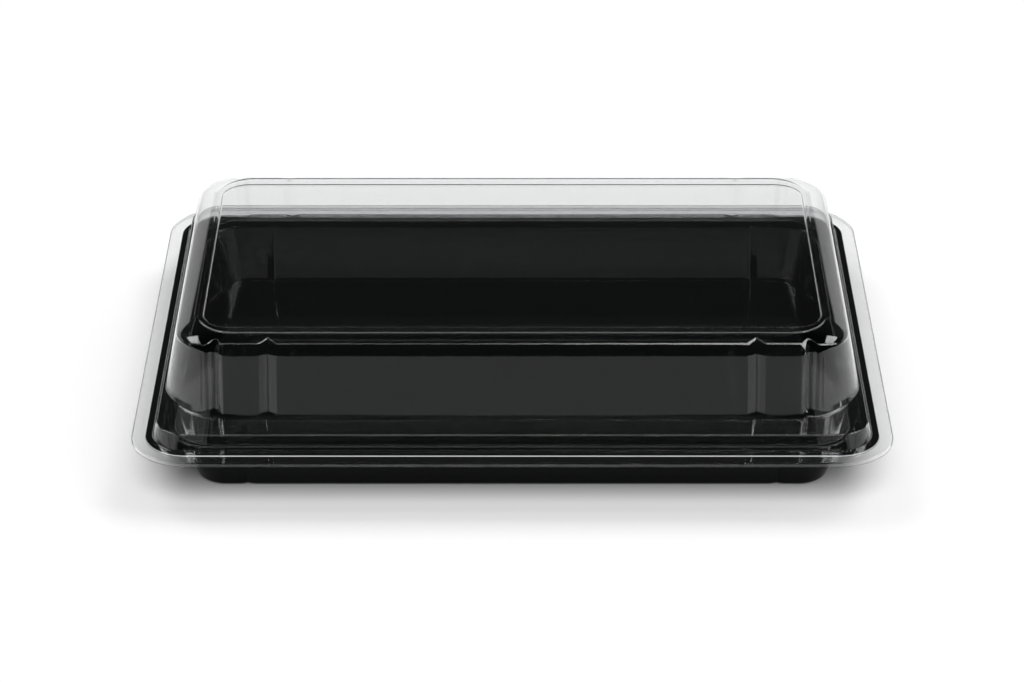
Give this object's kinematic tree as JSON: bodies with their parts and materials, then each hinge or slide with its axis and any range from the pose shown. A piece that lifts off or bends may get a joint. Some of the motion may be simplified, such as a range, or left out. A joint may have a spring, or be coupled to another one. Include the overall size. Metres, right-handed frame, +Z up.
{
  "type": "takeaway sushi tray",
  "caption": "Empty rectangular takeaway sushi tray: a black thermoformed plastic base with a clear domed lid resting on its rim.",
  "frame": {"origin": "middle of the tray's underside, on the surface it rests on", "axes": "+X along the long side, to the right; +Y across the tray, to the back; +Z up"},
  "size_m": [0.26, 0.195, 0.0513],
  "materials": {
    "tray_plastic": "glossy black formed sheet",
    "lid_plastic": "clear glossy formed sheet"
  },
  "bodies": {
    "root": {"tray": "tray_plastic", "lid": "lid_plastic"}
  },
  "joints": []
}
